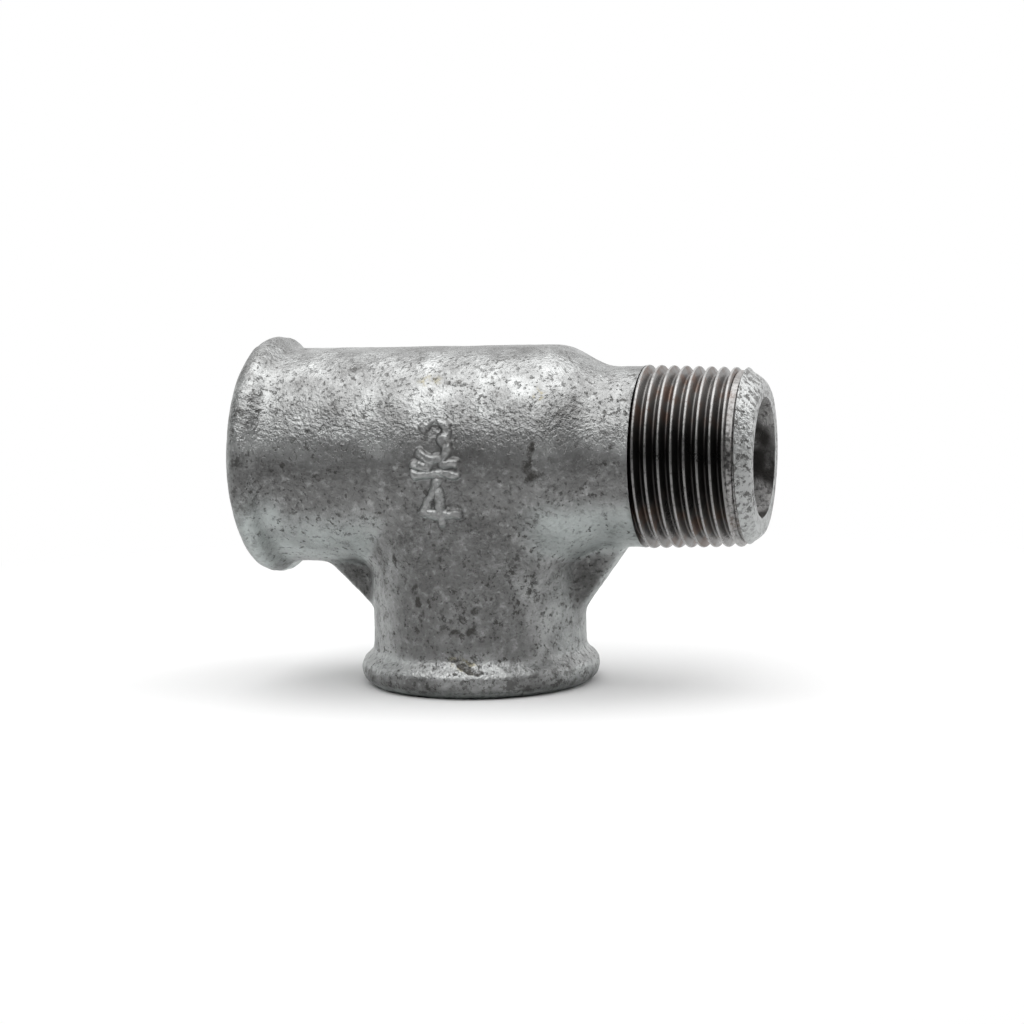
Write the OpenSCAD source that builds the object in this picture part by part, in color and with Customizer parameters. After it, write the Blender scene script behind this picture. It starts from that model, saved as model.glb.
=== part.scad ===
// Malleable iron pipe tee with two threaded sockets and one threaded male end.
// The origin is the centre of the branch mouth, on the face that the tee stands on.
// The branch axis is Z, and the run axis is parallel to X, with the male end towards +X.

/* [Run] */
// Length from the branch axis to the face of the run socket
run_socket_len = 33; // [30:0.1:40]
// Length from the branch axis to the tip of the male end
male_len = 43; // [40:0.1:50]
// Outer diameter of the run where the branch joins it
body_d = 32.2; // [31.6:0.1:34]
// Outer diameter of the run beside its bead
body_end_d = 31.6; // [31:0.1:33]
// Wall of the cored body
wall = 3; // [2.5:0.1:3.4]

/* [Branch] */
// Length from the run axis to the face of the branch
branch_len = 33.3; // [31:0.1:40]
// Outer diameter of the branch neck
neck_d = 31.2; // [30.5:0.1:31.4]

/* [Beads] */
// Outer diameter of the bead round each socket
bead_d = 35.5; // [34:0.1:38]
// Width of the bead from the face to the end of its crest
bead_w = 3.5; // [2.5:0.1:5]
// Length over which the bead runs down to the body
bead_slope = 2.2; // [1:0.1:4]
// Rounding of the bead at the face
bead_round = 2.2; // [0.5:0.1:2.6]

/* [Sockets] */
// Inner diameter of the female thread
socket_d = 24.12; // [23.8:0.02:24.6]
// Depth of the thread from the face
socket_depth = 16; // [12:0.1:17]
// Diameter of the chamfered mouth at the face
mouth_d = 27.6; // [26:0.1:28]

/* [Male end] */
// Diameter over the thread crests at the gauge plane
thread_d = 26; // [25.5:0.1:26.5]
// Distance of the gauge plane from the tip
gauge_len = 9.9; // [7:0.1:12]
// Taper of the thread, one in this many on the diameter
thread_taper = 16; // [10:1:40]
// Length of the thread from the tip
thread_len = 17; // [13:0.1:18]
// Distance from one turn of the thread to the next
thread_pitch = 1.814; // [1.3:0.002:2.4]
// Depth of the thread
thread_depth = 1.16; // [0.8:0.02:1.4]
// Distance from the start of the thread to its first crest, on the side of the branch
thread_lead = 0.98; // [0.5:0.02:1.5]
// Diameter of the plain shank behind the thread
shank_d = 26; // [25.4:0.1:27]
// Length of the plain shank
shank_len = 4.9; // [3:0.1:6]
// Length of the shoulder between the body and the shank
shoulder_len = 8.3; // [6:0.1:10]
// Length of the rounded lip at the tip
lip_len = 3.2; // [1:0.1:4]
// How far the lip lies below the thread crests
lip_drop = 0.2; // [0.1:0.02:0.4]
// Outer diameter of the flat ring at the tip
tip_d = 20.8; // [20:0.1:23]
// Bore of the male end
male_bore_d = 17.4; // [15:0.1:18.5]

/* [Webs] */
// Thickness of each web
web_t = 7; // [4:0.1:9]
// Distance from the branch axis to where a web leaves the run
web_reach = 22.7; // [21:0.1:24]
// Distance from the run axis to where a web meets the neck
web_drop = 22.8; // [21:0.1:26]
// Rounding of the long edges of a web
web_round = 1.4; // [0.4:0.1:1.8]

/* [Crotch] */
// Size of the fillet between the run and the branch
crotch_round = 4.5; // [2:0.1:6]
// Angle either side of the run axis to which the fillet goes
crotch_sweep = 65; // [50:5:65]

/* [Hidden] */
$fn = 96;

body_r = body_d/2;
body_end_r = body_end_d/2;
neck_r = neck_d/2;
bead_r = bead_d/2;
socket_r = socket_d/2;
mouth_r = mouth_d/2;
shank_r = shank_d/2;
tip_r = tip_d/2;
male_bore_r = male_bore_d/2;
cavity_r = body_r - wall;
branch_cavity_r = neck_r - wall;

// Places along the run, measured from the branch axis
bead_foot_x = -run_socket_len + bead_w + bead_slope;
thread_start_x = male_len - thread_len;
shoulder_end_x = thread_start_x - shank_len;
shoulder_start_x = shoulder_end_x - shoulder_len;
lip_start_x = male_len - lip_len;

// How far a cutter runs past a face, and how far one solid is rooted in another
past = 1;
root = 2;
// How far the fillet's edges are sunk into the run and the neck
sink = 0.12;
// Steps along a bead slope, a shoulder, a rounding and a fillet
steps = 8;
// Angle between two sections of the fillet
crotch_step = 5;
// Steps in one turn of the thread
turn_steps = 24;
// Corners of one turn of the thread, as [share of the pitch, share of the depth]
thread_corners = [[-1/12, 0], [1/12, 0], [5/12, 1], [7/12, 1]];
// How far the thread is rooted in the shank and in the lip
thread_root = 0.2;
// Angle over which the fillet's ends sink into the body, and how deep they go
crotch_fade = 10;
crotch_bury = 0.8;

// Rise from 0 to 1 that starts and ends level
function ease(t) = t*t*(3 - 2*t);

// Points [radius, place] that lead smoothly from one radius to another
function ogee(r0, u0, r1, u1) =
    [for (i = [0:steps]) [r0 + (r1 - r0)*ease(i/steps), u0 + (u1 - u0)*i/steps]];

// A quarter of an ellipse about a centre, from one angle to another
function round_points(centre, size_r, size_u, from, to) =
    [for (i = [0:steps])
        let (a = from + (to - from)*i/steps)
        [centre[0] + size_r*cos(a), centre[1] + size_u*sin(a)]];

// Outline of a socket's bead, from its face inwards, that ends at the given neck radius
function bead_points(face, end_r) = concat(
    round_points([bead_r - bead_round, face + bead_round], bead_round, bead_round, -90, 0),
    ogee(bead_r, face + bead_w, end_r, face + bead_w + bead_slope));

// Radius over the thread crests at a place along the run
function thread_r(x) = thread_d/2 + (male_len - gauge_len - x)/(2*thread_taper);

// Radius just under the thread's roots at a place along the run
function thread_core_r(x) = thread_r(x) - thread_depth - sink;

// Point of the thread on a number of steps along its helix, at one corner of its turn
function thread_point(step, corner) =
    let (
        place = thread_start_x + thread_lead + thread_pitch*(step/turn_steps + corner[0]),
        radius = thread_r(place) - thread_depth*corner[1],
        angle = 360*step/turn_steps)
    [radius*cos(angle), radius*sin(angle), place];

// Outer radius of the run between its bead and the male thread
function run_r(x) =
    x < shoulder_start_x ?
        body_end_r + (body_r - body_end_r)*(x - bead_foot_x)/(shoulder_start_x - bead_foot_x) :
    x < shoulder_end_x ?
        body_r + (shank_r - body_r)*ease((x - shoulder_start_x)/shoulder_len) :
    shank_r;

// Depth of the run's skin below the run axis, over a point of the plan
function run_drop(x, y) = sqrt(max(0, run_r(x)*run_r(x) - y*y));

// Quadratic curve from a to c with its corner at b
function bend(a, b, c, t) = (1 - t)*(1 - t)*a + 2*t*(1 - t)*b + t*t*c;

// How deep a section of the fillet is sunk, at an angle from the run axis
function bury(angle) = crotch_bury*max(0, 1 - (crotch_sweep - abs(angle))/crotch_fade);

// One upright section of the fillet, as [distance from the branch axis, depth below the run axis]
function crotch_section(angle) =
    let (
        side = max(abs(sin(angle)), 0.01),
        room = 0.7*(body_end_r/side - neck_r),
        reach = max(0.3, min(crotch_round, room)),
        corner = [neck_r, run_drop(neck_r*cos(angle), neck_r*sin(angle))],
        far = neck_r + reach,
        low = [neck_r - sink, corner[1] + reach],
        out = [far, run_drop(far*cos(angle), far*sin(angle)) - sink])
    concat(
        [for (i = [0:steps]) bend(low, corner, out, i/steps)],
        [[far, out[1] - root], [neck_r - root, corner[1] - root], [neck_r - root, low[1]]]);

// Lays what stands on the Z axis along the run axis
module on_run() {
    translate([0, 0, branch_len])
        rotate([0, 90, 0])
            children();
}

// Revolves [radius, place] points about the run axis
module turned_on_run(points) {
    on_run()
        rotate_extrude()
            polygon(points);
}

// The run from the socket's bead to the lip of the male end, with a plain core under the thread
module run_outside() {
    turned_on_run(concat(
        [[0, -run_socket_len]],
        bead_points(-run_socket_len, body_end_r),
        ogee(body_r, shoulder_start_x, shank_r, shoulder_end_x),
        [[shank_r, thread_start_x], [thread_core_r(thread_start_x), thread_start_x]],
        [[thread_core_r(lip_start_x), lip_start_x]],
        round_points([tip_r, lip_start_x], thread_r(lip_start_x) - lip_drop - tip_r, lip_len, 0, 90),
        [[0, male_len]]));
}

// Right-hand thread on the male end: a helix with flat crests, trimmed between the shank and the lip
module male_thread() {
    corners = len(thread_corners);
    first = -2*turn_steps;
    last = turn_steps*ceil(thread_len/thread_pitch);
    count = last - first;
    helix = [for (i = [first:last]) for (c = thread_corners) thread_point(i, c)];
    near_tip = len(helix);
    far_tip = near_tip + 1;
    tips = [[0, 0, thread_point(first, [0, 0])[2]], [0, 0, thread_point(last, [0, 0])[2]]];
    // The corner after the last of a turn is the first of the next turn
    function at(i, j) = j < corners ? i*corners + j : (i + turn_steps)*corners;
    flanks = [for (i = [0:count - 1]) for (j = [0:corners - 1])
        if (j < corners - 1 || i < count - turn_steps)
            each [[at(i, j), at(i, j + 1), at(i + 1, j + 1)], [at(i, j), at(i + 1, j + 1), at(i + 1, j)]]];
    near_rim = concat(
        [for (i = [0:turn_steps]) at(i, 0)],
        [for (j = [corners - 1:-1:1]) at(0, j)]);
    far_rim = concat(
        [for (j = [0:corners - 1]) at(count, j)],
        [for (i = [count - 1:-1:count - turn_steps]) at(i, corners - 1)]);
    near_end = [for (k = [0:len(near_rim) - 1]) [near_tip, near_rim[k], near_rim[(k + 1)%len(near_rim)]]];
    far_end = [for (k = [0:len(far_rim) - 1]) [far_tip, far_rim[k], far_rim[(k + 1)%len(far_rim)]]];
    on_run()
        intersection() {
            polyhedron(concat(helix, tips), concat(flanks, near_end, far_end));
            translate([0, 0, thread_start_x - thread_root])
                cylinder(h = lip_start_x - thread_start_x + 2*thread_root, r = body_r);
        }
}

// The branch from its bead up into the run
module branch_outside() {
    rotate_extrude()
        polygon(concat([[0, 0]], bead_points(0, neck_r), [[neck_r, branch_len], [0, branch_len]]));
}

// Flat web in the plane of both axes, on the +X side of a run that has the given radius there
module web(radius) {
    start = [web_reach, branch_len - radius];
    end = [neck_r, branch_len - web_drop];
    slant = end - start;
    half = web_t/2;
    translate([start[0], 0, start[1]])
        rotate([0, atan2(slant[0], slant[1]), 0])
            translate([0, 0, -root])
                linear_extrude(norm(slant) + 2*root)
                    polygon(concat(
                        [[web_reach - neck_r, half]],
                        round_points([web_round, half - web_round], web_round, web_round, 90, 180),
                        round_points([web_round, web_round - half], web_round, web_round, 180, 270),
                        [[web_reach - neck_r, -half]]));
}

// Fillet between the run and the neck, on the side of the run that faces the given direction
module crotch(facing) {
    angles = [for (a = [-crotch_sweep:crotch_step:crotch_sweep]) facing + a];
    sections = [for (a = angles) [for (p = crotch_section(a)) p - bury(a - facing)*[1, 1]]];
    size = len(sections[0]);
    last = len(angles) - 1;
    points = [for (i = [0:last]) for (p = sections[i])
        [p[0]*cos(angles[i]), p[0]*sin(angles[i]), branch_len - p[1]]];
    sides = [for (i = [0:last - 1]) for (j = [0:size - 1])
        let (a = i*size + j, b = i*size + (j + 1)%size)
        each [[a, a + size, b + size], [a, b + size, b]]];
    near_end = [for (j = [0:size - 1]) j];
    far_end = [for (j = [0:size - 1]) last*size + size - 1 - j];
    polyhedron(points, concat(sides, [near_end, far_end]));
}

// Waterway of the run, from the socket's mouth through the body to the bore of the male end
module run_waterway() {
    face = -run_socket_len;
    thread_end = face + socket_depth;
    turned_on_run([
        [0, face - past],
        [mouth_r + past, face - past],
        [socket_r, face + mouth_r - socket_r],
        [socket_r, thread_end],
        [cavity_r, thread_end + abs(cavity_r - socket_r)],
        [cavity_r, shoulder_start_x - wall],
        [male_bore_r, shoulder_end_x],
        [male_bore_r, male_len + past],
        [0, male_len + past]]);
}

// Waterway of the branch, from its mouth up to the run
module branch_waterway() {
    rotate_extrude()
        polygon([
            [0, -past],
            [mouth_r + past, -past],
            [socket_r, mouth_r - socket_r],
            [socket_r, socket_depth],
            [branch_cavity_r, socket_depth + abs(branch_cavity_r - socket_r)],
            [branch_cavity_r, branch_len],
            [0, branch_len]]);
}

// The whole casting
module tee_body() {
    color([0.62, 0.63, 0.62])
        difference() {
            union() {
                run_outside();
                male_thread();
                branch_outside();
                crotch(0);
                crotch(180);
                web(run_r(web_reach));
                mirror([1, 0, 0])
                    web(run_r(-web_reach));
            }
            run_waterway();
            branch_waterway();
        }
}

tee_body();
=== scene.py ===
import math

import bpy
from mathutils import Matrix, Vector, noise


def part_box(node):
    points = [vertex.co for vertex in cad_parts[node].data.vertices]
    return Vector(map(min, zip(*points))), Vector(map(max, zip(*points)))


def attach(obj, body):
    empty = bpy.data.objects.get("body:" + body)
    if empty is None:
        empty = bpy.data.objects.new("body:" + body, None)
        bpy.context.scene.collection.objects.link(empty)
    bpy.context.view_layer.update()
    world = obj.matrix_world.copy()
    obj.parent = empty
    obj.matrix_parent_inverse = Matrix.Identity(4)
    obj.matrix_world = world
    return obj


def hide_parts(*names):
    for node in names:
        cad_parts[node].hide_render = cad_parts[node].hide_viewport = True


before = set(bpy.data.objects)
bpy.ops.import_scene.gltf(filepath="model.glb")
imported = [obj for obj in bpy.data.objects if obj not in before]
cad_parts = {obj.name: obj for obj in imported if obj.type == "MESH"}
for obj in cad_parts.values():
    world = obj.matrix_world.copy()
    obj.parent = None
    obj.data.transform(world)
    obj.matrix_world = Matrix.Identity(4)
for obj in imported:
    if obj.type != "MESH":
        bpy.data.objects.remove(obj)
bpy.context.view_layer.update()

mm = 0.001


# The camera stands in front of the tee and a little to its male side, and looks slightly down on it.
# It leans by a degree, because the tee stands a little aslant in the picture.
view_azimuth = math.radians(16.24)
view_elevation = math.radians(6.75)
view_roll = math.radians(-1.21)
view_distance = 360.4 * mm
view_target = Vector((5.25 * mm, 0, 24.97 * mm))
view_lens = 86.34
view_sensor = 36

towards_camera = Vector((
    math.sin(view_azimuth) * math.cos(view_elevation),
    -math.cos(view_azimuth) * math.cos(view_elevation),
    math.sin(view_elevation)))
level_right = Vector((math.cos(view_azimuth), math.sin(view_azimuth), 0))
level_up = towards_camera.cross(level_right)
camera_right = math.cos(view_roll) * level_right + math.sin(view_roll) * level_up
camera_up = towards_camera.cross(camera_right)

bpy.ops.object.select_all(action="DESELECT")
bpy.ops.object.camera_add()
camera = bpy.context.object
camera.name = "camera"
camera.data.lens = view_lens
camera.data.sensor_width = view_sensor
camera.data.clip_start = mm
camera.matrix_world = (
    Matrix.Translation(view_target + view_distance * towards_camera)
    @ Matrix((camera_right, camera_up, towards_camera)).transposed().to_4x4())
bpy.context.scene.camera = camera
bpy.context.scene.view_settings.view_transform = "Standard"


# The studio is a sheet of white paper that lies flat under the tee and turns up behind it.
# Near the tee the paper is lit and takes its shadow, and further off it is plain white. It ends in front
# just below the picture, so that metal that faces the camera shows the dim room over its edge.
paper_half_width = 1.8
paper_front = -0.2
paper_back = 1.4
paper_bend = 0.3
paper_rise = 0.15
paper_bend_steps = 12
paper_white = (0.67, 0.67, 0.67, 1)
lit_radius = 60 * mm
plain_radius = 170 * mm


def add_node(tree, kind, inputs=None, **settings):
    """A new node. Each input is a plain value, or the output of another node."""
    new = tree.nodes.new(kind)
    for setting, value in settings.items():
        setattr(new, setting, value)
    for socket, value in (inputs or {}).items():
        if isinstance(value, bpy.types.NodeSocket):
            tree.links.new(value, new.inputs[socket])
        else:
            new.inputs[socket].default_value = value
    return new


def calculate(tree, operation, first, second=0.0):
    return add_node(tree, "ShaderNodeMath", {0: first, 1: second}, operation=operation).outputs[0]


def soft_step(tree, value, low, high, start=0.0, end=1.0):
    """A value that eases from start to end as the given one goes from low to high."""
    ranges = {"Value": value, "From Min": low, "From Max": high, "To Min": start, "To Max": end}
    return add_node(tree, "ShaderNodeMapRange", ranges, interpolation_type="SMOOTHSTEP").outputs["Result"]


def all_of(tree, *shares):
    """Several shares multiplied together."""
    whole = shares[0]
    for share in shares[1:]:
        whole = calculate(tree, "MULTIPLY", whole, share)
    return whole


def any_of(tree, *shares):
    """The largest of several shares."""
    largest = shares[0]
    for share in shares[1:]:
        largest = calculate(tree, "MAXIMUM", largest, share)
    return largest


def new_look(name):
    """An empty material and its tree of nodes."""
    look = bpy.data.materials.new(name)
    look.use_nodes = True
    look.node_tree.nodes.clear()
    return look, look.node_tree


def blend(tree, share, first, second):
    """A colour between two others."""
    return add_node(
        tree, "ShaderNodeMix", {0: share, 6: first, 7: second}, data_type="RGBA").outputs[2]


paper_look, tree = new_look("white_paper")
lit_paper = add_node(tree, "ShaderNodeBsdfDiffuse", {"Color": paper_white})
plain_paper = add_node(tree, "ShaderNodeEmission", {"Color": (1, 1, 1, 1), "Strength": 1.0})
place = add_node(tree, "ShaderNodeTexCoord").outputs["Object"]
distance = add_node(tree, "ShaderNodeVectorMath", {0: place}, operation="LENGTH").outputs["Value"]
far_off = soft_step(tree, distance, lit_radius, plain_radius)
path = add_node(tree, "ShaderNodeLightPath")
seen = any_of(
    tree, path.outputs["Is Camera Ray"], path.outputs["Is Glossy Ray"], path.outputs["Is Transmission Ray"])
plain_share = all_of(tree, seen, far_off)
paper_mix = add_node(
    tree, "ShaderNodeMixShader", {0: plain_share, 1: lit_paper.outputs[0], 2: plain_paper.outputs[0]})
add_node(tree, "ShaderNodeOutputMaterial", {"Surface": paper_mix.outputs[0]})

bpy.ops.object.select_all(action="DESELECT")
bpy.ops.mesh.primitive_plane_add(size=1)
paper = bpy.context.object
paper.name = "studio_paper"
paper.scale = (2 * paper_half_width, paper_back - paper_front, 1)
paper.location = (0, (paper_back + paper_front) / 2, 0)
bpy.ops.object.transform_apply(location=True, rotation=True, scale=True)
bpy.ops.object.mode_set(mode="EDIT")
bpy.ops.mesh.select_mode(type="EDGE")
bpy.ops.mesh.select_all(action="DESELECT")
bpy.ops.object.mode_set(mode="OBJECT")
for edge in paper.data.edges:
    edge.select = all(paper.data.vertices[i].co.y > paper_back - mm for i in edge.vertices)
bpy.ops.object.mode_set(mode="EDIT")
bend_angle = math.pi / 2 / paper_bend_steps
bend_length = paper_bend * bend_angle
for step in range(paper_bend_steps):
    slope = (step + 0.5) * bend_angle
    bpy.ops.mesh.extrude_region_move(TRANSFORM_OT_translate={
        "value": (0, bend_length * math.cos(slope), bend_length * math.sin(slope))})
bpy.ops.mesh.extrude_region_move(TRANSFORM_OT_translate={"value": (0, 0, paper_rise)})
bpy.ops.mesh.select_all(action="SELECT")
bpy.ops.mesh.normals_make_consistent(inside=False)
bpy.ops.mesh.select_mode(type="VERT")
bpy.ops.object.mode_set(mode="OBJECT")
bpy.ops.object.shade_smooth()
paper.data.materials.append(paper_look)


# The light is one broad soft lamp overhead and a weaker panel at each side. The room is dim in front and
# bright behind. Metal that faces up shows the lamp, and metal that faces the camera shows the dim room.
room_front = (0.02, 0.02, 0.02, 1)
room_back = (1.1, 1.1, 1.1, 1)
panel_tint = (0.93, 1.0, 0.985)


def soft_lamp(name, place, size, power, tint=(1, 1, 1)):
    bpy.ops.object.select_all(action="DESELECT")
    bpy.ops.object.light_add(type="AREA", location=place)
    lamp = bpy.context.object
    lamp.name = name
    lamp.rotation_euler = (view_target - Vector(place)).to_track_quat("-Z", "Y").to_euler()
    lamp.data.shape = "RECTANGLE"
    lamp.data.size, lamp.data.size_y = size
    lamp.data.energy = power
    lamp.data.color = tint


soft_lamp("lamp_over", place=(-0.04, -0.16, 0.62), size=(0.9, 1.12), power=8.3)
soft_lamp("panel_left", place=(-0.7, 0.1, 0.16), size=(0.6, 0.5), power=0.6, tint=panel_tint)
soft_lamp("panel_right", place=(0.6, 0.32, 0.48), size=(0.7, 0.7), power=2.4)

room = bpy.data.worlds.new("studio_room")
room.use_nodes = True
tree = room.node_tree
direction = add_node(tree, "ShaderNodeTexCoord").outputs["Generated"]
depth = add_node(tree, "ShaderNodeSeparateXYZ", {"Vector": direction}).outputs["Y"]
room_colour = blend(tree, soft_step(tree, depth, -0.5, 0.6), room_front, room_back)
tree.links.new(room_colour, tree.nodes["Background"].inputs["Color"])
bpy.context.scene.world = room


# The casting is one piece of malleable iron. Its run and its branch are two round barrels, each socket
# ends in a rolled bead, and a plain tail carries the male thread. The corners are blended in the mould.
low, high = (Vector(corner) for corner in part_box("tee_body"))
bead_radius = high.y
run_height = high.z - bead_radius
socket_face = low.x
male_tip = high.x
body_radius = 16.2 * mm
body_end_radius = 15.9 * mm
neck_radius = 15.7 * mm
bead_width = 3.1 * mm
bead_slope = 2.1 * mm
bead_rounding = 2.3 * mm
shoulder_start = 12.8 * mm
shoulder_end = 21.1 * mm
shank_radius = 13.0 * mm
thread_start = 25.8 * mm
thread_end = 40.85 * mm
thread_stock_radius = 13.4 * mm
stock_inset = 0.3 * mm
lip_radius = 12.25 * mm
tip_radius = 10.1 * mm
lip_roundness = 0.5
crotch_reach = 6.5 * mm
crotch_passes = 130
bead_soft_passes = 6
skin_room = 0.12 * mm
bead_room = 0.1 * mm
face_stock = 0.4 * mm
skin_grid = 0.44 * mm
turned_sides = 144
round_steps = 6


def eased(start, end, share):
    return start + (end - start) * share * share * (3 - 2 * share)


def ogee(place_0, radius_0, place_1, radius_1):
    """Stations, as a place and a radius, that lead smoothly from one radius to another."""
    shares = [i / round_steps for i in range(round_steps + 1)]
    return [(place_0 + (place_1 - place_0) * share, eased(radius_0, radius_1, share)) for share in shares]


def rounding(place, radius, length, height, start, end):
    """Stations on an arc about a place and a radius, between two angles from straight out."""
    angles = [math.radians(start + (end - start) * i / round_steps) for i in range(round_steps + 1)]
    return [(place + length * math.sin(angle), radius + height * math.cos(angle)) for angle in angles]


def bead(face, end_radius):
    """Stations of a socket's bead, with a little stock before the face to trim off."""
    crest = bead_radius - bead_room
    rim = crest - bead_rounding
    return (
        [(face - face_stock, rim)]
        + rounding(face + bead_rounding, rim, bead_rounding, bead_rounding, -90, 0)
        + ogee(face + bead_width, crest, face + bead_width + bead_slope, end_radius))


def lip(start, end):
    """Stations of the lip at the tip, whose outline lies between a chamfer and a quarter round."""
    stations = []
    for i in range(round_steps + 1):
        angle = math.pi / 2 * i / round_steps
        share = lip_roundness * math.cos(angle) + (1 - lip_roundness) * (1 - math.sin(angle))
        place = start + (end - start) * math.sin(angle)
        stations.append((place, tip_radius + (lip_radius - tip_radius) * share))
    return stations


def axis_of(barrel):
    """A point on the axis of the run or the branch, and the direction of that axis."""
    if barrel == "run":
        return Vector((0, 0, run_height)), Vector((1, 0, 0))
    return Vector((0, 0, 0)), Vector((0, 0, 1))


def turned_solid(name, barrel, stations):
    """A closed round solid: a disc extruded from station to station and resized to each radius."""
    foot, direction = axis_of(barrel)
    place, radius = stations[0]
    bpy.ops.object.select_all(action="DESELECT")
    bpy.ops.mesh.primitive_circle_add(
        vertices=turned_sides, radius=radius, fill_type="NGON", location=foot + place * direction,
        rotation=direction.to_track_quat("Z", "Y").to_euler())
    solid = bpy.context.object
    solid.name = name
    bpy.ops.object.transform_apply(location=True, rotation=True, scale=True)
    bpy.ops.object.mode_set(mode="EDIT")
    bpy.ops.mesh.select_all(action="SELECT")
    for next_place, next_radius in stations[1:]:
        step = (next_place - place) * direction
        growth = next_radius / radius
        bpy.ops.mesh.extrude_region_move(TRANSFORM_OT_translate={"value": step})
        bpy.ops.transform.resize(
            value=(growth, growth, growth), center_override=foot + next_place * direction)
        place, radius = next_place, next_radius
    bpy.ops.mesh.select_all(action="SELECT")
    bpy.ops.mesh.normals_make_consistent(inside=False)
    bpy.ops.object.mode_set(mode="OBJECT")
    return solid


def pick(piece):
    bpy.ops.object.select_all(action="DESELECT")
    piece.select_set(True)
    bpy.context.view_layer.objects.active = piece


def apply_modifier(piece, kind, **settings):
    pick(piece)
    modifier = piece.modifiers.new(kind.lower(), kind)
    for setting, value in settings.items():
        setattr(modifier, setting, value)
    bpy.ops.object.modifier_apply(modifier=modifier.name)


def fuse(pieces, grid):
    """One skin over several solids that run into each other."""
    pick(pieces[0])
    for piece in pieces:
        piece.select_set(True)
    bpy.ops.object.join()
    apply_modifier(pieces[0], "REMESH", mode="VOXEL", voxel_size=grid, use_smooth_shade=True)
    return pieces[0]


def closeness(distance, reach):
    """A weight that eases from 1 at no distance to 0 at the given reach."""
    return eased(0, 1, min(max(1 - abs(distance) / reach, 0), 1))


def weigh(piece, name, weight_at):
    """A vertex group with the weight that the given function has at each vertex."""
    group = piece.vertex_groups.new(name=name)
    for vertex in piece.data.vertices:
        weight = weight_at(vertex.co)
        if weight > 0:
            group.add([vertex.index], weight, "REPLACE")
    return group.name


def crotch_weight(point):
    if not bead_width + bead_slope < point.z < run_height:
        return 0
    off_run = math.hypot(point.y, point.z - run_height) - body_radius
    off_neck = math.hypot(point.x, point.y) - neck_radius
    return closeness(max(abs(off_run), abs(off_neck)), crotch_reach)


run_barrel = turned_solid(
    "tee_casting", "run",
    bead(socket_face, body_end_radius)
    + ogee(shoulder_start, body_radius, shoulder_end, shank_radius)
    + [(thread_start + stock_inset, shank_radius), (thread_start + 2 * stock_inset, thread_stock_radius)]
    + [(thread_end - 2 * stock_inset, thread_stock_radius), (thread_end - stock_inset, lip_radius)]
    + lip(thread_end, male_tip + skin_room))
branch_barrel = turned_solid("branch_barrel", "branch", bead(0, neck_radius) + [(run_height, neck_radius)])
casting = fuse([run_barrel, branch_barrel], skin_grid)
crotch = weigh(casting, "crotch", crotch_weight)
apply_modifier(casting, "SMOOTH", factor=0.5, iterations=crotch_passes, vertex_group=crotch)


# A flat web stands in each corner between the run and the branch, in the plane of both axes.
# It is part of the same casting, with rounded edges and a soft root along the barrels.
web_thickness = 7.0 * mm
web_reach = 22.7 * mm
web_drop = 22.8 * mm
web_depth = 7.0 * mm
web_overrun = 2.0 * mm
web_rounding = 1.4 * mm
web_root_reach = 3.4 * mm
web_root_passes = 36
soft_passes = 3


def web(side, run_radius):
    """A plate made from a cube, laid on the slanted line between the run and the neck."""
    top = Vector((side * web_reach, 0, run_height - run_radius))
    foot = Vector((side * neck_radius, 0, run_height - web_drop))
    middle = (top + foot) / 2
    slant = (top - foot).normalized()
    inward = Vector((-side * slant.z, 0, side * slant.x))
    across = inward.cross(slant)
    length = (top - foot).length + 2 * web_overrun
    bpy.ops.object.select_all(action="DESELECT")
    bpy.ops.mesh.primitive_cube_add(size=1)
    plate = bpy.context.object
    plate.matrix_world = (
        Matrix.Translation(middle + inward * web_depth / 2)
        @ Matrix((slant, across, inward)).transposed().to_4x4()
        @ Matrix.Diagonal((length, web_thickness, web_depth, 1)))
    bpy.ops.object.transform_apply(location=True, rotation=True, scale=True)
    bpy.ops.object.mode_set(mode="EDIT")
    bpy.ops.mesh.select_mode(type="EDGE")
    bpy.ops.mesh.select_all(action="DESELECT")
    bpy.ops.object.mode_set(mode="OBJECT")
    for edge in plate.data.edges:
        ends = [plate.data.vertices[i].co for i in edge.vertices]
        on_outside = all(abs((end - middle).dot(inward)) < web_rounding for end in ends)
        edge.select = on_outside and abs((ends[1] - ends[0]).dot(slant)) > web_depth / 2
    bpy.ops.object.mode_set(mode="EDIT")
    bpy.ops.mesh.bevel(offset=web_rounding, segments=4, affect="EDGES")
    bpy.ops.mesh.select_mode(type="VERT")
    bpy.ops.mesh.select_all(action="SELECT")
    bpy.ops.mesh.normals_make_consistent(inside=False)
    bpy.ops.object.mode_set(mode="OBJECT")
    return plate


def web_root_weight(point):
    if point.z > run_height - shank_radius + web_overrun or point.z < bead_width + bead_slope:
        return 0
    return closeness(abs(point.y) - web_thickness / 2, web_root_reach)


webs = [web(-1, body_end_radius), web(1, shank_radius)]
casting = fuse([casting] + webs, skin_grid)
web_roots = weigh(casting, "web_roots", web_root_weight)
apply_modifier(casting, "SMOOTH", factor=0.5, iterations=web_root_passes, vertex_group=web_roots)
apply_modifier(casting, "SMOOTH", factor=0.5, iterations=soft_passes)


# The pipe size stands on the front as raised figures, cast with the body from a stamped pattern.
# Their strokes wander and have soft edges, because the sand and the zinc blur them.
mark_middle = -1.3 * mm
mark_relief = 0.75 * mm
mark_cuts = 2
mark_margin = 1.0 * mm
stroke_flat = 0.25 * mm
stroke_slope = 0.7 * mm
wander_size = 1.7 * mm
wander_reach = 0.34 * mm
swell_share = 0.6
wander_seed = 2
wander_layers = 2
arc_steps = 8


def stroke(*corners):
    """Straight strokes between corners, in millimetres across and up from the middle of the mark."""
    points = [Vector((mark_middle + across * mm, run_height + up * mm)) for across, up in corners]
    return list(zip(points, points[1:]))


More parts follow.
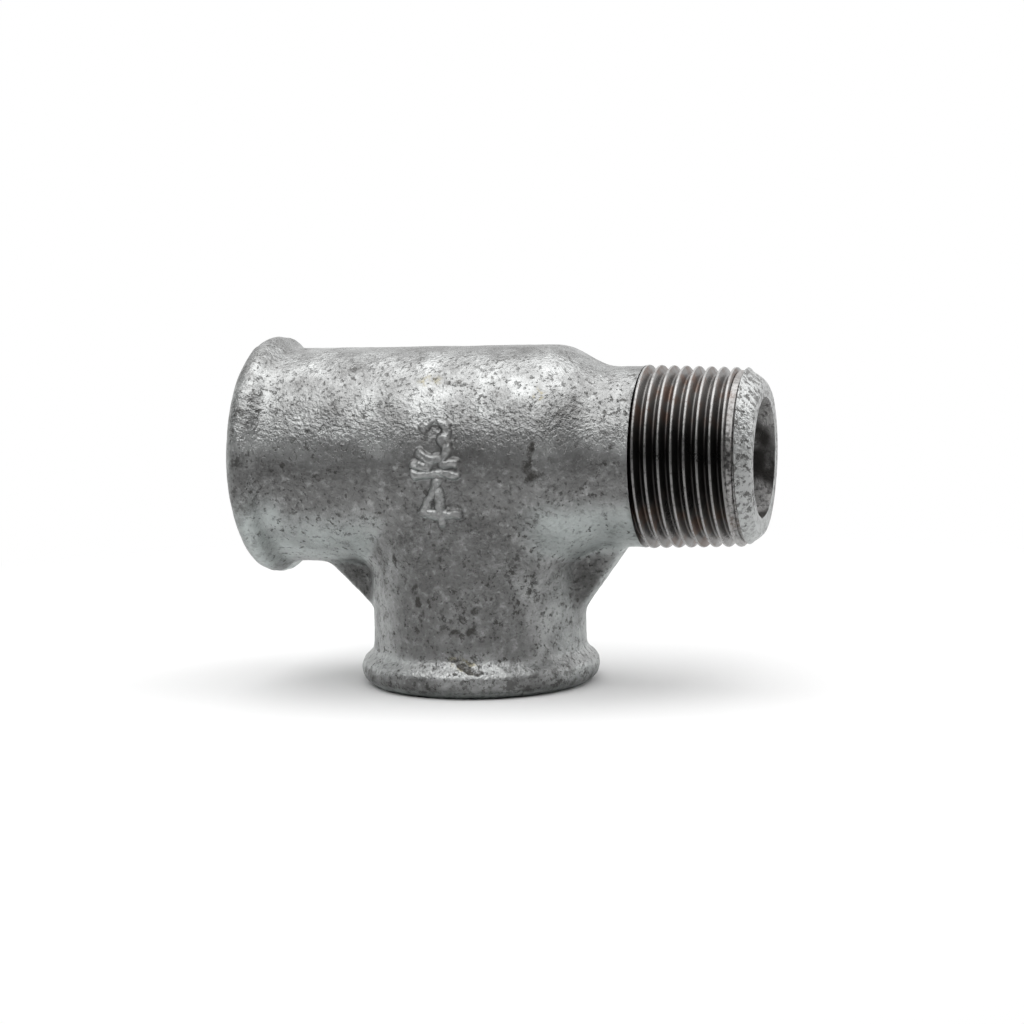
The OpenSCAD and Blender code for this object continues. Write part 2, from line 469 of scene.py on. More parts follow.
def bowl(across, up, half_width, half_height, start, end):
    """A curved stroke on an ellipse, between two angles from its right-hand side."""
    angles = [math.radians(start + (end - start) * i / arc_steps) for i in range(arc_steps + 1)]
    return stroke(*[
        (across + half_width * math.cos(angle), up + half_height * math.sin(angle)) for angle in angles])


mark_strokes = (
    bowl(0, 4.9, 1.8, 1.35, 160, -60) + bowl(-0.1, 2.25, 2.1, 1.45, 60, -165)
    + stroke((-3.0, 0.2), (-1.0, -0.1)) + stroke((1.2, 0.2), (3.0, 0.6)) + stroke((-2.9, -1.1), (2.9, -1.1))
    + stroke((0.3, -2.1), (-2.0, -6.7), (3.0, -6.9)) + stroke((0.5, -3.6), (0.9, -8.2)))
noise.seed_set(wander_seed)
mark_points = [point for ends in mark_strokes for point in ends]
mark_left = min(point.x for point in mark_points) - mark_margin
mark_right = max(point.x for point in mark_points) + mark_margin
mark_bottom = min(point.y for point in mark_points) - mark_margin
mark_top = max(point.y for point in mark_points) + mark_margin


def on_mark(point):
    return point.y < 0 and mark_left < point.x < mark_right and mark_bottom < point.z < mark_top


def mark_weight(point):
    if not on_mark(point):
        return 0
    on_front = Vector((point.x, 0, point.z)) / wander_size
    wander = wander_reach * noise.turbulence_vector(on_front, wander_layers, False)
    drawn = Vector((point.x + wander.x, point.z + wander.z))
    distances = []
    for start, end in mark_strokes:
        along = end - start
        share = min(max((drawn - start).dot(along) / along.length_squared, 0), 1)
        distances.append((drawn - start - share * along).length)
    swell = 1 - swell_share * abs(noise.turbulence(on_front, wander_layers, False))
    return swell * closeness(max(min(distances) - stroke_flat, 0), stroke_slope)


pick(casting)
bpy.ops.object.mode_set(mode="EDIT")
bpy.ops.mesh.select_mode(type="FACE")
bpy.ops.mesh.select_all(action="DESELECT")
bpy.ops.object.mode_set(mode="OBJECT")
for polygon in casting.data.polygons:
    polygon.select = on_mark(polygon.center)
bpy.ops.object.mode_set(mode="EDIT")
bpy.ops.mesh.subdivide(number_cuts=mark_cuts, smoothness=0)
bpy.ops.mesh.select_mode(type="VERT")
bpy.ops.object.mode_set(mode="OBJECT")
mark = weigh(casting, "mark", mark_weight)
apply_modifier(casting, "DISPLACE", strength=mark_relief, mid_level=0, vertex_group=mark)


# The rough skin comes from the sand mould and from hot zinc that ran and froze on the iron.
# It swells and dimples all over, is lumpiest on the rims of the beads, and is faced off at the sockets.
swell_size = 6.0 * mm
swell_height = 0.16 * mm
dimple_size = 1.3 * mm
dimple_height = 0.08 * mm
rim_lump_size = 2.4 * mm
rim_lump_height = 0.3 * mm
trim_room = 0.002 * mm
trim_tolerance = 0.0001 * mm
tip_lean = math.radians(1.2)


def roughen(piece, name, size, height, depth=1, group=""):
    """Pushes the skin in and out by a cloudy pattern of the given size."""
    pattern = bpy.data.textures.new(name, "CLOUDS")
    pattern.noise_scale = size
    pattern.noise_depth = depth
    apply_modifier(
        piece, "DISPLACE", texture=pattern, texture_coords="LOCAL", strength=height, mid_level=0.5,
        vertex_group=group)


def rim_weight(point):
    from_face = min(point.x - socket_face, point.z)
    return closeness(from_face - bead_width, 1.5 * bead_width)


def trim(piece, place, outward):
    """Cuts off what lies outside a plane, and closes the cut with a flat face."""
    pick(piece)
    bpy.ops.object.mode_set(mode="EDIT")
    bpy.ops.mesh.select_all(action="SELECT")
    bpy.ops.mesh.bisect(plane_co=place, plane_no=outward, clear_outer=True, threshold=trim_tolerance)
    bpy.ops.mesh.edge_face_add()
    bpy.ops.mesh.select_all(action="SELECT")
    bpy.ops.mesh.normals_make_consistent(inside=False)
    bpy.ops.object.mode_set(mode="OBJECT")


rims = weigh(casting, "rims", rim_weight)
apply_modifier(casting, "SMOOTH", factor=0.5, iterations=bead_soft_passes, vertex_group=rims)
roughen(casting, "swells", swell_size, swell_height)
roughen(casting, "dimples", dimple_size, dimple_height, depth=2)
roughen(casting, "rim_lumps", rim_lump_size, rim_lump_height, group=rims)
trim(casting, (socket_face + trim_room, 0, 0), (-1, 0, 0))
trim(casting, (0, 0, trim_room), (0, 0, -1))
trim(
    casting, (male_tip - trim_room, 0, run_height + tip_radius),
    (math.cos(tip_lean), 0, -math.sin(tip_lean)))

zinc = (0.225, 0.227, 0.225, 1)
zinc_pale = (0.38, 0.387, 0.384, 1)
# Dull zinc: random dull patches, and painted shade on the upright flanks
dull_zinc_and_painted_shade = (0.155, 0.155, 0.153, 1)
# Dark zinc: random dark mottling, and painted shade in the creases round the figures
dark_zinc_and_painted_shade = (0.09, 0.09, 0.088, 1)
# Pale zinc where it drained, and painted reflection of the floor and side lamps
drained_zinc_and_painted_reflection = (0.46, 0.495, 0.487, 1)
# Bright zinc: the rubbed lip, and painted highlights on the lower bead's slope and the raised figures
rubbed_zinc_and_painted_highlight = (0.42, 0.428, 0.425, 1)
pit_dark = (0.06, 0.058, 0.055, 1)
dross_yellow = (0.23, 0.205, 0.13, 1)
# Dark grey for the darker rims and for painted shade in the web pockets
dark_rim_and_painted_shade_grey = (0.085, 0.085, 0.083, 1)

# Sizes of the patterns in the skin
dent_size = 0.7 * mm
fine_size = 0.5 * mm
coarse_size = 2.2 * mm
pit_area_size = 5.0 * mm
fleck_size = 1.5 * mm
fleck_area_size = 6.5 * mm
patch_size = 7.0 * mm
mottle_size = 1.2 * mm
cloud_size = 1.7 * mm
lip_speck_size = 0.9 * mm
branch_fleck_size = 1.7 * mm
rim_speck_size = 1.3 * mm
gloss_size = 1.1 * mm
ragged_size = 1.1 * mm
ragged_edge = 0.65 * mm
relief_depth = 0.18 * mm

# Places where the look changes, each given by the start and the end of its fade
branch_top = (25 * mm, 17 * mm)
flank_foot = (5 * mm, 7 * mm)
bead_back = (-24 * mm, -27 * mm)
bead_back_top = (run_height - 3 * mm, run_height - 9 * mm)
shoulder_side = (9 * mm, 15 * mm)
shoulder_top = (run_height - 4 * mm, run_height - 9 * mm)
shoulder_bottom = (run_height - 15 * mm, run_height - 12 * mm)
foot_top = (8 * mm, 5 * mm)
foot_side = (13 * mm, 5 * mm)
cloud_top = (run_height + 2 * mm, run_height - 4 * mm)
dark_rim_edge = (2.4 * mm, 0.9 * mm)
rim_speck_edge = (4.5 * mm, 2.5 * mm)
pocket_side = (13.5 * mm, 17 * mm)
pocket_bottom = (10 * mm, 14 * mm)
pocket_top = (20 * mm, 17 * mm)
pocket_edge = (9 * mm, 5 * mm)
web_face = (2.4 * mm, 3.3 * mm)
lip_edge = (thread_end - mm, thread_end)
matt_top = (run_height + 6 * mm, run_height + 2 * mm)
relief_bottom = (run_height + mm, run_height + 5 * mm)
relief_top = (run_height + 8 * mm, run_height + 11 * mm)
lower_relief = (run_height, run_height - 4 * mm)


def speckle(tree, place, size, detail=2.0, roughness=0.5):
    """A noise pattern of the given size, on the piece's own coordinates."""
    return add_node(
        tree, "ShaderNodeTexNoise",
        {"Vector": place, "Scale": 1 / size, "Detail": detail, "Roughness": roughness}).outputs["Fac"]


def cast_grain_group():
    """The grain of a sand casting: dimples, dark flecks and broad patches of the metal's colour."""
    group = bpy.data.node_groups.new("cast_grain", "ShaderNodeTree")
    group.interface.new_socket("Place", in_out="INPUT", socket_type="NodeSocketVector")
    for output in ("Height", "Pits", "Flecks", "Patches", "Mottle"):
        group.interface.new_socket(output, in_out="OUTPUT", socket_type="NodeSocketFloat")
    place = group.nodes.new("NodeGroupInput").outputs["Place"]
    dents = soft_step(group, speckle(group, place, dent_size, 3.0, 0.6), 0.44, 0.31)
    fine = speckle(group, place, fine_size, 3.0, 0.55)
    coarse = speckle(group, place, coarse_size, 1.0, 0.5)
    height = calculate(group, "ADD", fine, calculate(group, "MULTIPLY", coarse, 0.6))
    height = calculate(group, "SUBTRACT", height, calculate(group, "MULTIPLY", dents, 0.5))
    pit_areas = soft_step(group, speckle(group, place, pit_area_size, 2.0, 0.5), 0.35, 0.6, 0.25, 1.0)
    pits = all_of(group, dents, pit_areas)
    fleck_areas = soft_step(group, speckle(group, place, fleck_area_size, 1.0, 0.5), 0.42, 0.62, 0.1, 1.0)
    flecks = all_of(
        group, soft_step(group, speckle(group, place, fleck_size, 4.0, 0.7), 0.43, 0.34), fleck_areas)
    patches = speckle(group, place, patch_size, 2.0, 0.55)
    mottle = speckle(group, place, mottle_size, 4.0, 0.65)
    add_node(group, "NodeGroupOutput", {
        "Height": height, "Pits": pits, "Flecks": flecks, "Patches": patches, "Mottle": mottle})
    return group


def spot(tree, place, across, up, width, height, lean):
    """A share that is 1 inside a leaning ellipse on the front of the casting, and 0 outside it."""
    inside = add_node(tree, "ShaderNodeMapping", {
        "Vector": place, "Location": (across * mm, -body_radius, up * mm),
        "Rotation": (0, math.radians(lean), 0),
        "Scale": (width * mm, body_radius / 2, height * mm)}, vector_type="TEXTURE").outputs["Vector"]
    distance = add_node(tree, "ShaderNodeVectorMath", {0: inside}, operation="LENGTH").outputs["Value"]
    return soft_step(tree, distance, 1.0, 0.55)


def spots(tree, place, places):
    """The share of several spots together."""
    return any_of(tree, *[spot(tree, place, *one) for one in places])


# Blemishes on the front: across, up, half a width and half a height in millimetres, and a lean in degrees
scratch = ((12.7, 35.2, 0.55, 2.8, 10), (12.2, 33.2, 1.0, 1.2, 0), (13.3, 32.2, 1.5, 1.0, 0))
branch_pits = (
    (1.15, 9.6, 1.1, 0.7, 0), (3.35, 9.5, 1.0, 0.9, 0), (4.1, 12.6, 0.7, 1.1, 20), (2.2, 11.2, 0.6, 0.6, 0),
    (-5.0, 15.6, 0.7, 1.1, 15), (-4.6, 13.6, 0.6, 1.1, 8), (-4.0, 11.6, 0.7, 1.3, 15))
streaks = ((-8.6, 19.5, 0.6, 1.5, -14), (24.6, 22.3, 0.9, 0.4, 20))
bead_fold = ((2.4, 4.6, 2.6, 0.5, 23), (4.6, 3.9, 0.9, 0.6, 0))
dark_spots = scratch + branch_pits + streaks + bead_fold
dross_spots = ((-3.2, 45.3, 3.0, 1.5, 0), (13.3, 43.2, 1.2, 1.6, 0), (2.2, 4.9, 3.2, 1.0, 23))

cast_grain = cast_grain_group()
skin_look, tree = new_look("galvanised_skin")
coordinates = add_node(tree, "ShaderNodeTexCoord").outputs
place = coordinates["Object"]
parts = add_node(tree, "ShaderNodeSeparateXYZ", {"Vector": place}).outputs
facing = add_node(tree, "ShaderNodeSeparateXYZ", {"Vector": coordinates["Normal"]}).outputs
sideways = calculate(tree, "ABSOLUTE", facing["X"])
off_branch = calculate(tree, "ABSOLUTE", parts["X"])
off_middle = calculate(tree, "ABSOLUTE", parts["Y"])
from_face = calculate(
    tree, "MINIMUM", calculate(tree, "SUBTRACT", parts["X"], socket_face), parts["Z"])
grain = add_node(tree, "ShaderNodeGroup", node_tree=cast_grain)
tree.links.new(place, grain.inputs["Place"])
patches = grain.outputs["Patches"]
mottle = grain.outputs["Mottle"]
colour = blend(tree, soft_step(tree, patches, 0.45, 0.7), zinc, zinc_pale)
colour = blend(tree, soft_step(tree, patches, 0.45, 0.3), colour, dull_zinc_and_painted_shade)

# Painted shade: the upright flanks that face front and back are darkened with dull zinc. Zinc drained down
# the casting and gathered below, where it is paler and smoother; the undersides, the branch's sides and the
# slopes behind the bead and below the shoulder are also made paler as a painted reflection of the floor and
# the side lamps, and the slope of the lower bead is given a painted highlight
painted_flank_shade = all_of(
    tree, soft_step(tree, facing["Z"], 0.15, -0.05), soft_step(tree, facing["Z"], -0.65, -0.3),
    soft_step(tree, sideways, 0.8, 0.4, 0.0, 0.8), soft_step(tree, parts["Z"], *flank_foot))
colour = blend(tree, painted_flank_shade, colour, dull_zinc_and_painted_shade)
underneath = soft_step(tree, facing["Z"], -0.35, -0.8)
on_branch = soft_step(tree, parts["Z"], *branch_top)
beside = all_of(tree, on_branch, soft_step(tree, sideways, 0.7, 1.0, 0.0, 0.35))
behind_bead = all_of(
    tree, soft_step(tree, parts["X"], *bead_back, 0.0, 0.9), soft_step(tree, parts["Z"], *bead_back_top))
below_shoulder = all_of(
    tree, soft_step(tree, parts["X"], *shoulder_side), soft_step(tree, parts["Z"], *shoulder_top),
    soft_step(tree, parts["Z"], *shoulder_bottom))
# Drained zinc and painted reflection together: the undersides and sides are made paler
drained_and_painted_reflection = all_of(
    tree, any_of(tree, underneath, beside, behind_bead, below_shoulder),
    soft_step(tree, patches, 0.3, 0.5, 0.55, 0.95))
colour = blend(tree, drained_and_painted_reflection, colour, drained_zinc_and_painted_reflection)
# Painted highlight on the upward-facing slope of the lower bead
painted_foot_highlight = all_of(
    tree, soft_step(tree, parts["Z"], *foot_top), soft_step(tree, facing["Z"], 0.1, 0.4, 0.0, 0.8),
    soft_step(tree, parts["X"], *foot_side, 0.3, 1.0))
colour = blend(tree, painted_foot_highlight, colour, rubbed_zinc_and_painted_highlight)

# Fine mottling lies all over, and broader clouds below the middle of the run
clouds = speckle(tree, place, cloud_size, 4.0, 0.65)
mottle_share = soft_step(tree, drained_and_painted_reflection, 0.2, 0.8, 1.0, 0.5)
cloud_share = all_of(tree, mottle_share, soft_step(tree, parts["Z"], *cloud_top, 0.2, 1.0))
for pattern, share in ((mottle, mottle_share), (clouds, cloud_share)):
    darker = all_of(tree, share, soft_step(tree, pattern, 0.48, 0.25, 0.0, 0.6))
    colour = blend(tree, darker, colour, dark_zinc_and_painted_shade)
    paler = all_of(tree, share, soft_step(tree, pattern, 0.52, 0.75, 0.0, 0.7))
    colour = blend(tree, paler, colour, zinc_pale)

# The rims beside the socket faces are darker, and painted shade darkens the pockets beside the webs
dark_rims = soft_step(tree, from_face, *dark_rim_edge, 0.0, 0.6)
painted_pocket_shade = all_of(
    tree, soft_step(tree, off_branch, *pocket_side), soft_step(tree, parts["Z"], *pocket_bottom),
    soft_step(tree, parts["Z"], *pocket_top), soft_step(tree, off_middle, *web_face),
    soft_step(tree, off_middle, *pocket_edge))
dark_rims_and_painted_pocket_shade = all_of(tree, any_of(tree, dark_rims, painted_pocket_shade), soft_step(tree, mottle, 0.3, 0.6, 1.0, 0.55))
colour = blend(tree, dark_rims_and_painted_pocket_shade, colour, dark_rim_and_painted_shade_grey)

# The lip is rubbed bright. Dark flecks and dimples lie all over, most densely on the lip and the rims
on_lip = soft_step(tree, parts["X"], *lip_edge)
colour = blend(tree, calculate(tree, "MULTIPLY", on_lip, 0.8), colour, rubbed_zinc_and_painted_highlight)
lip_specks = all_of(
    tree, on_lip, soft_step(tree, speckle(tree, place, lip_speck_size, 4.0, 0.7), 0.49, 0.43))
branch_flecks = all_of(
    tree, on_branch, soft_step(tree, speckle(tree, place, branch_fleck_size, 4.0, 0.75), 0.41, 0.36))
rim_specks = all_of(
    tree, soft_step(tree, from_face, *rim_speck_edge),
    soft_step(tree, speckle(tree, place, rim_speck_size, 4.0, 0.7), 0.48, 0.4, 0.0, 0.8))
flecks = all_of(
    tree, any_of(tree, grain.outputs["Flecks"], lip_specks, branch_flecks, rim_specks),
    soft_step(tree, drained_and_painted_reflection, 0.2, 0.8, 1.0, 0.45))
dark_share = calculate(tree, "MULTIPLY", any_of(tree, grain.outputs["Pits"], flecks), 0.8)

# The dross and the dark blemishes have ragged edges
wander = add_node(
    tree, "ShaderNodeTexNoise", {"Vector": place, "Scale": 1 / ragged_size, "Detail": 4.0}).outputs["Color"]
wander = add_node(
    tree, "ShaderNodeVectorMath", {0: wander, 1: (0.5, 0.5, 0.5)}, operation="SUBTRACT").outputs["Vector"]
ragged = add_node(
    tree, "ShaderNodeVectorMath", {0: wander, 1: 3 * [2 * ragged_edge], 2: place},
    operation="MULTIPLY_ADD").outputs["Vector"]
dross = all_of(tree, spots(tree, ragged, dross_spots), soft_step(tree, mottle, 0.55, 0.42, 0.0, 0.85))
colour = blend(tree, dross, colour, dross_yellow)
colour = blend(tree, dark_share, colour, pit_dark)
stained = all_of(tree, spots(tree, ragged, dark_spots), soft_step(tree, mottle, 0.62, 0.46, 0.5, 0.95))
colour = blend(tree, stained, colour, pit_dark)

# The raised figures are rubbed bright and carry a painted highlight, and painted shade darkens the creases
# round them
figures = add_node(tree, "ShaderNodeAttribute", attribute_name="mark").outputs["Fac"]
painted_crease_shade = all_of(tree, soft_step(tree, figures, 0.0, 0.12), soft_step(tree, figures, 0.55, 0.2, 0.0, 0.6))
colour = blend(tree, painted_crease_shade, colour, dark_zinc_and_painted_shade)
colour = blend(tree, soft_step(tree, figures, 0.45, 0.9, 0.0, 0.5), colour, rubbed_zinc_and_painted_highlight)

# The front of the run is matt and calm at its middle, and the relief is sharpest just above that
gloss = calculate(
    tree, "ADD", soft_step(tree, speckle(tree, place, gloss_size, 3.0), 0.3, 0.7, 0.26, 0.36),
    soft_step(tree, parts["Z"], *matt_top, 0.0, 0.14))
upper_relief = all_of(
    tree, soft_step(tree, parts["Z"], *relief_bottom, 0.5, 1.4),
    soft_step(tree, parts["Z"], *relief_top, 1.0, 0.7))
relief_share = any_of(
    tree, upper_relief, soft_step(tree, parts["Z"], *lower_relief, 0.5, 1.0),
    calculate(tree, "MULTIPLY", on_lip, 1.3))
relief = all_of(
    tree, grain.outputs["Height"], relief_share, soft_step(tree, drained_and_painted_reflection, 0.0, 0.8, 1.0, 0.5),
    soft_step(tree, figures, 0.2, 0.8, 1.0, 0.8))
relief = calculate(tree, "SUBTRACT", relief, calculate(tree, "MULTIPLY", stained, 0.5))
skin_bump = add_node(tree, "ShaderNodeBump", {"Strength": 1.0, "Distance": relief_depth, "Height": relief})
skin_shader = add_node(tree, "ShaderNodeBsdfPrincipled", {
    "Base Color": colour, "Roughness": gloss, "Metallic": 0.92, "Normal": skin_bump.outputs["Normal"]})
add_node(tree, "ShaderNodeOutputMaterial", {"Surface": skin_shader.outputs["BSDF"]})
casting.data.materials.clear()
casting.data.materials.append(skin_look)


# The waterway is cored: a sand core left a rough round hole through the run, down into the branch
# and out through the narrower male end. Its skin is dull and dark.
core_wall = 3.0 * mm
male_bore = 8.7 * mm
socket_depth = 16.0 * mm
socket_crest = 12.06 * mm
core_start = 0.2 * mm
core_flare = 1.0 * mm
core_grid = 0.85 * mm
core_soft_passes = 4
cutter_overrun = 1.5 * mm
core_swell_size = 7.0 * mm
core_swell_height = 0.7 * mm
core_grit_size = 1.6 * mm
core_grit_height = 0.25 * mm
core_relief = 0.2 * mm
core_grey = (0.43, 0.425, 0.42, 1)
core_stain = (0.05, 0.047, 0.044, 1)


def core(name, barrel, start, wide_radius, rest):
    """A barrel's core, from inside the end of the socket's thread, where it flares to its full width."""
    return turned_solid(name, barrel, [
        (start - core_flare / 2, socket_crest - core_start), (start + core_flare / 2, wide_radius)] + rest)


waterway = fuse([
    core("run_core", "run", socket_face + socket_depth, body_radius - core_wall, [
        (shoulder_start - core_wall, body_radius - core_wall),
        (shoulder_end, male_bore),
        (male_tip + cutter_overrun, male_bore)]),
    core("branch_core", "branch", socket_depth, neck_radius - core_wall, [
        (run_height, neck_radius - core_wall)])], core_grid)
apply_modifier(waterway, "SMOOTH", factor=0.5, iterations=core_soft_passes)
roughen(waterway, "core_swells", core_swell_size, core_swell_height)
roughen(waterway, "core_grit", core_grit_size, core_grit_height)

core_look, tree = new_look("cored_iron")
place = add_node(tree, "ShaderNodeTexCoord").outputs["Object"]
grain = add_node(tree, "ShaderNodeGroup", node_tree=cast_grain)
tree.links.new(place, grain.inputs["Place"])
colour = blend(tree, soft_step(tree, grain.outputs["Patches"], 0.42, 0.62), core_grey, core_stain)
colour = blend(tree, soft_step(tree, grain.outputs["Mottle"], 0.5, 0.35, 0.0, 0.7), colour, core_stain)
core_bump = add_node(
    tree, "ShaderNodeBump", {"Strength": 0.7, "Distance": core_relief, "Height": grain.outputs["Height"]})
core_shader = add_node(tree, "ShaderNodeBsdfPrincipled", {
    "Base Color": colour, "Roughness": soft_step(tree, grain.outputs["Patches"], 0.3, 0.7, 0.5, 0.7),
    "Metallic": 0.6, "Normal": core_bump.outputs["Normal"]})
add_node(tree, "ShaderNodeOutputMaterial", {"Surface": core_shader.outputs["BSDF"]})


def cut(cutter, look):
    """Takes a cutter's shape out of the casting, and gives the cut its look."""
    cutter.data.materials.clear()
    cutter.data.materials.append(look)
    apply_modifier(
        casting, "BOOLEAN", operation="DIFFERENCE", object=cutter, solver="MANIFOLD",
        material_mode="TRANSFER")
    bpy.data.objects.remove(cutter)


cut(waterway, core_look)


# Each socket is tapped with a parallel pipe thread, 14 turns to the inch, and chamfered at its mouth.
# The cut is bare iron, with dark smears of oil.
pitch = 25.4 * mm / 14
thread_depth = 0.6403 * pitch
thread_rounding = 0.1373 * pitch
flank_turn = 62.5
mouth_radius = 13.8 * mm
tap_arc_steps = 3
tap_turn_steps = 72
weld_reach = 0.001 * mm
tap_smear_size = 1.8 * mm
grit_size = 0.4 * mm
cut_relief = 0.05 * mm
bare_iron = (0.21, 0.203, 0.196, 1)
oiled_iron = (0.07, 0.066, 0.062, 1)


def thread_outline(start, turns, crest, arc_steps):
    """Places and radii over several turns: round crests and roots, with straight flanks between."""
    crest_centre = crest - thread_rounding
    root_centre = crest - thread_depth + thread_rounding
    outline = []
    for turn in range(turns):
        for middle, centre, side in ((turn, crest_centre, 1), (turn + 0.5, root_centre, -1)):
            for i in range(arc_steps + 1):
                angle = math.radians(flank_turn * (2 * i / arc_steps - 1))
                outline.append((
                    start + middle * pitch + thread_rounding * math.sin(angle),
                    centre + side * thread_rounding * math.cos(angle)))
    return outline + [(outline[0][0] + turns * pitch, outline[0][1])]


def threaded_rod(name, barrel, first, last, crest, crest_place, arc_steps, turn_steps, taper=0, gauge=0):
    """A right-hand threaded rod with a crest at the given place on its front, trimmed at both ends."""
    foot, direction = axis_of(barrel)
    turns_before = math.ceil((crest_place - first) / pitch) + 2
    start = crest_place - turns_before * pitch
    turns = math.ceil((last - start) / pitch) + 2
    outline = thread_outline(start, turns, crest, arc_steps)
    points = [Vector((0, -radius, place)) for place, radius in outline]
    bpy.ops.object.select_all(action="DESELECT")
    bpy.ops.mesh.primitive_plane_add(size=mm)
    rod = bpy.context.object
    rod.name = name
    bpy.ops.object.mode_set(mode="EDIT")
    bpy.ops.mesh.select_all(action="SELECT")
    bpy.ops.mesh.merge(type="CENTER")
    bpy.ops.transform.translate(value=points[0])
    for i in range(1, len(points)):
        bpy.ops.mesh.extrude_region_move(TRANSFORM_OT_translate={"value": points[i] - points[i - 1]})
    bpy.ops.object.mode_set(mode="OBJECT")
    apply_modifier(
        rod, "SCREW", axis="Z", angle=2 * math.pi, screw_offset=pitch, steps=turn_steps,
        render_steps=turn_steps, use_smooth_shade=True)
    for vertex in rod.data.vertices:
        growth = 1 + taper * (gauge - vertex.co.z) / 2 / math.hypot(vertex.co.x, vertex.co.y)
        vertex.co.x *= growth
        vertex.co.y *= growth
    rod.location = foot
    rod.rotation_euler = (0, math.pi / 2 * direction.x, 0)
    bpy.ops.object.transform_apply(location=True, rotation=True, scale=True)
    bpy.ops.object.mode_set(mode="EDIT")
    bpy.ops.mesh.select_all(action="SELECT")
    bpy.ops.mesh.remove_doubles(threshold=weld_reach)
    bpy.ops.object.mode_set(mode="OBJECT")
    trim(rod, first * direction, -direction)
    trim(rod, last * direction, direction)
    return rod


tap_look, tree = new_look("tapped_thread")
place = add_node(tree, "ShaderNodeTexCoord").outputs["Object"]
smears = speckle(tree, place, tap_smear_size, 4.0, 0.6)
grit = speckle(tree, place, grit_size, 2.0)
tap_bump = add_node(tree, "ShaderNodeBump", {"Strength": 0.3, "Distance": cut_relief, "Height": grit})
tap_shader = add_node(tree, "ShaderNodeBsdfPrincipled", {
    "Base Color": blend(tree, soft_step(tree, smears, 0.3, 0.7), bare_iron, oiled_iron),
    "Roughness": soft_step(tree, smears, 0.3, 0.7, 0.32, 0.5),
    "Metallic": 0.9, "Normal": tap_bump.outputs["Normal"]})
add_node(tree, "ShaderNodeOutputMaterial", {"Surface": tap_shader.outputs["BSDF"]})

for barrel, face in (("run", socket_face), ("branch", 0)):
    thread_stop = face + socket_depth + core_flare / 4
    mouth_stop = face + mouth_radius - socket_crest
    cut(threaded_rod(
        "tap", barrel, face - cutter_overrun, thread_stop, socket_crest + thread_depth, face,
        tap_arc_steps, tap_turn_steps), tap_look)
    cut(turned_solid("mouth", barrel, [
        (face - cutter_overrun, mouth_radius + cutter_overrun),
        (mouth_stop + core_start, socket_crest - core_start)]), tap_look)


# The male thread is cut with a die after the galvanising: a tapered pipe thread, 14 turns to the inch.
# The fresh iron is smeared brown with oil, a black band of painted shade lies along its front and back near
# the height of the axis, and the crests are rubbed bright with a painted highlight along them.
male_crest = 13.0 * mm
male_gauge = 33.1 * mm
male_taper = 1 / 16
front_crest_place = 26.53 * mm
die_radius = 15.5 * mm
die_overrun = 0.6 * mm
die_mark = 0.16 * mm
last_turn_start = 39.2 * mm
last_turn_end = 40.3 * mm
last_turn_radius = 12.38 * mm
male_arc_steps = 4
male_turn_steps = 120
# Painted shade: black for the dark band near the height of the axis
painted_shade_black_iron = (0.024, 0.0225, 0.022, 1)
grey_iron = (0.145, 0.14, 0.136, 1)
brown_iron = (0.12, 0.085, 0.07, 1)
# Rubbed iron on the crests, also a painted highlight line
rubbed_iron_and_painted_highlight = (0.34, 0.335, 0.33, 1)
dark_band_wander = 6.0 * mm
dark_band_middle = 6.0 * mm
dark_band_edge = 14.0 * mm
rub_depth = 0.03 * mm
rub_fade = 0.11 * mm
worn_fade = 0.5 * mm
oil_smear_size = 3.0 * mm
nick_size = 0.5 * mm

thread_look, tree = new_look("cut_thread")
place = add_node(tree, "ShaderNodeTexCoord").outputs["Object"]
parts = add_node(tree, "ShaderNodeSeparateXYZ", {"Vector": place}).outputs
above_axis = calculate(tree, "SUBTRACT", parts["Z"], run_height)
reach = calculate(tree, "POWER", calculate(
    tree, "ADD", calculate(tree, "MULTIPLY", parts["Y"], parts["Y"]),
    calculate(tree, "MULTIPLY", above_axis, above_axis)), 0.5)
crest_reach = calculate(tree, "ADD", male_crest, calculate(
    tree, "MULTIPLY", calculate(tree, "SUBTRACT", male_gauge, parts["X"]), male_taper / 2))
depth = calculate(tree, "SUBTRACT", crest_reach, reach)
smears = speckle(tree, place, oil_smear_size, 3.0)
nicks = speckle(tree, place, nick_size, 2.0)
# The crests are rubbed bright, partly as a painted highlight line along them
rubbed_crests_and_painted_highlight = soft_step(tree, depth, rub_fade, rub_depth)
rubbed_crests_and_painted_highlight = calculate(tree, "MULTIPLY", rubbed_crests_and_painted_highlight, soft_step(tree, nicks, 0.3, 0.5, 0.45, 1.0))
off_middle = calculate(tree, "ABSOLUTE", above_axis)
colour = blend(tree, soft_step(tree, smears, 0.45, 0.65), grey_iron, brown_iron)
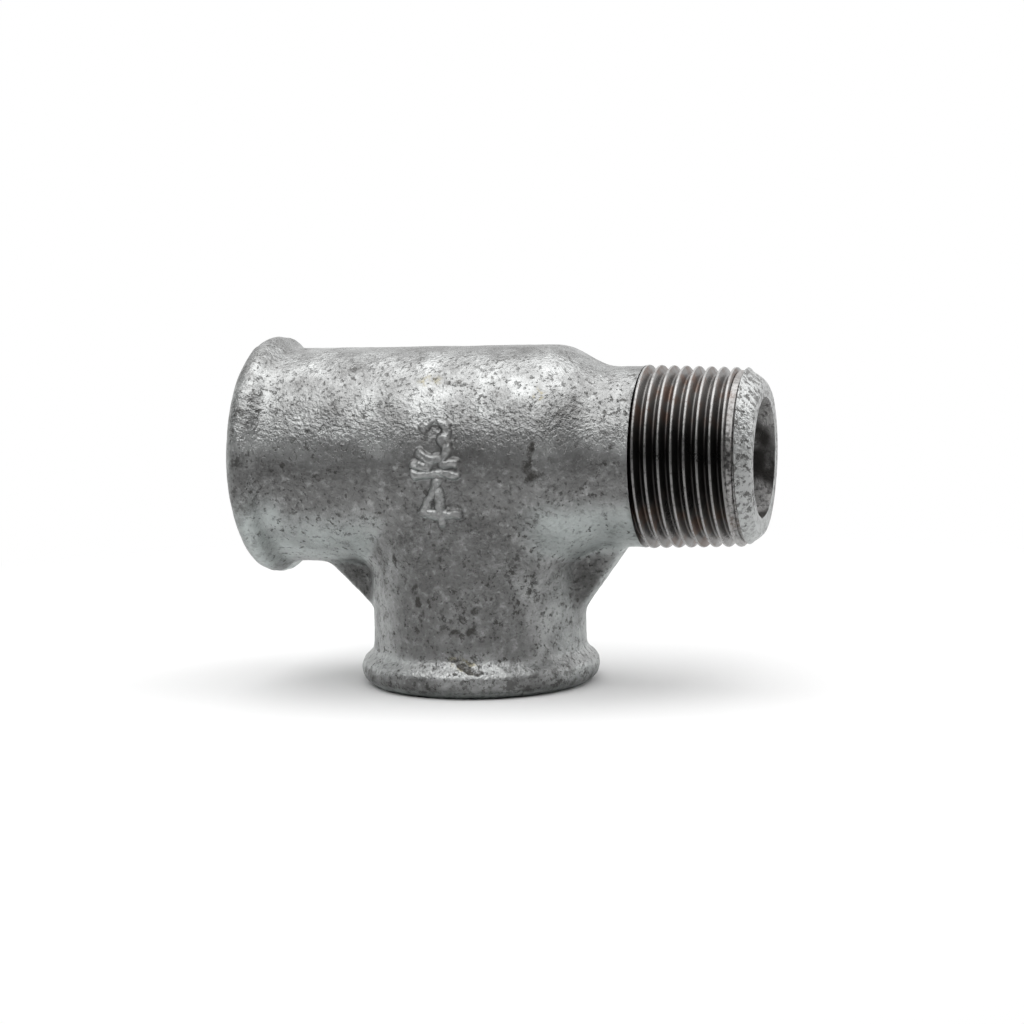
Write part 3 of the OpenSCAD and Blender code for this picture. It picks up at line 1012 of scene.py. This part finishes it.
# Painted shade: a black band along the front and back of the thread near the height of the axis
painted_dark_band = soft_step(tree, calculate(tree, "ADD", off_middle, calculate(
    tree, "MULTIPLY", smears, dark_band_wander)), dark_band_edge, dark_band_middle)
colour = blend(tree, painted_dark_band, colour, painted_shade_black_iron)
rubbed_crests_and_painted_highlight = calculate(tree, "MULTIPLY", rubbed_crests_and_painted_highlight, soft_step(tree, painted_dark_band, 0.2, 1.0, 1.0, 0.5))
worn = soft_step(tree, parts["X"], last_turn_start, last_turn_start + worn_fade, 0.0, 0.8)
worn = calculate(tree, "MULTIPLY", worn, soft_step(tree, nicks, 0.35, 0.6, 0.2, 1.0))
rubbed_crests_and_painted_highlight = calculate(tree, "MAXIMUM", rubbed_crests_and_painted_highlight, worn)
colour = blend(tree, rubbed_crests_and_painted_highlight, colour, rubbed_iron_and_painted_highlight)
thread_bump = add_node(tree, "ShaderNodeBump", {"Strength": 0.35, "Distance": cut_relief, "Height": nicks})
thread_shader = add_node(tree, "ShaderNodeBsdfPrincipled", {
    "Base Color": colour, "Roughness": soft_step(tree, smears, 0.3, 0.7, 0.26, 0.42),
    "Metallic": calculate(tree, "SUBTRACT", 0.9, calculate(tree, "MULTIPLY", rubbed_crests_and_painted_highlight, 0.4)),
    "Normal": thread_bump.outputs["Normal"]})
add_node(tree, "ShaderNodeOutputMaterial", {"Surface": thread_shader.outputs["BSDF"]})

male_form = threaded_rod(
    "male_form", "run", thread_start - die_overrun, thread_end + die_overrun, male_crest, front_crest_place,
    male_arc_steps, male_turn_steps, male_taper, male_gauge)
last_turn = turned_solid("last_turn", "run", [
    (last_turn_start, last_turn_radius - thread_depth),
    (last_turn_start + thread_rounding, last_turn_radius),
    (last_turn_end, last_turn_radius),
    (last_turn_end + die_mark, last_turn_radius - 2 * die_mark),
    (thread_end - die_mark / 2, last_turn_radius - 2 * die_mark),
    (thread_end + die_overrun, last_turn_radius)])
die = turned_solid("die", "run", [(thread_start, die_radius), (thread_end, die_radius)])
for form in (male_form, last_turn):
    apply_modifier(die, "BOOLEAN", operation="DIFFERENCE", object=form, solver="MANIFOLD")
    bpy.data.objects.remove(form)
cut(die, thread_look)


# The finished casting stands for the whole tee, and its box is kept beside the plain model's.
sharp_angle = math.radians(40)

casting.name = "tee_casting"
pick(casting)
bpy.ops.object.shade_smooth_by_angle(angle=sharp_angle)
casting.vertex_groups.clear()
figure_share = casting.data.attributes.new("mark", "FLOAT", "POINT")
for vertex in casting.data.vertices:
    figure_share.data[vertex.index].value = mark_weight(vertex.co)
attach(casting, "root")
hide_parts("tee_body")
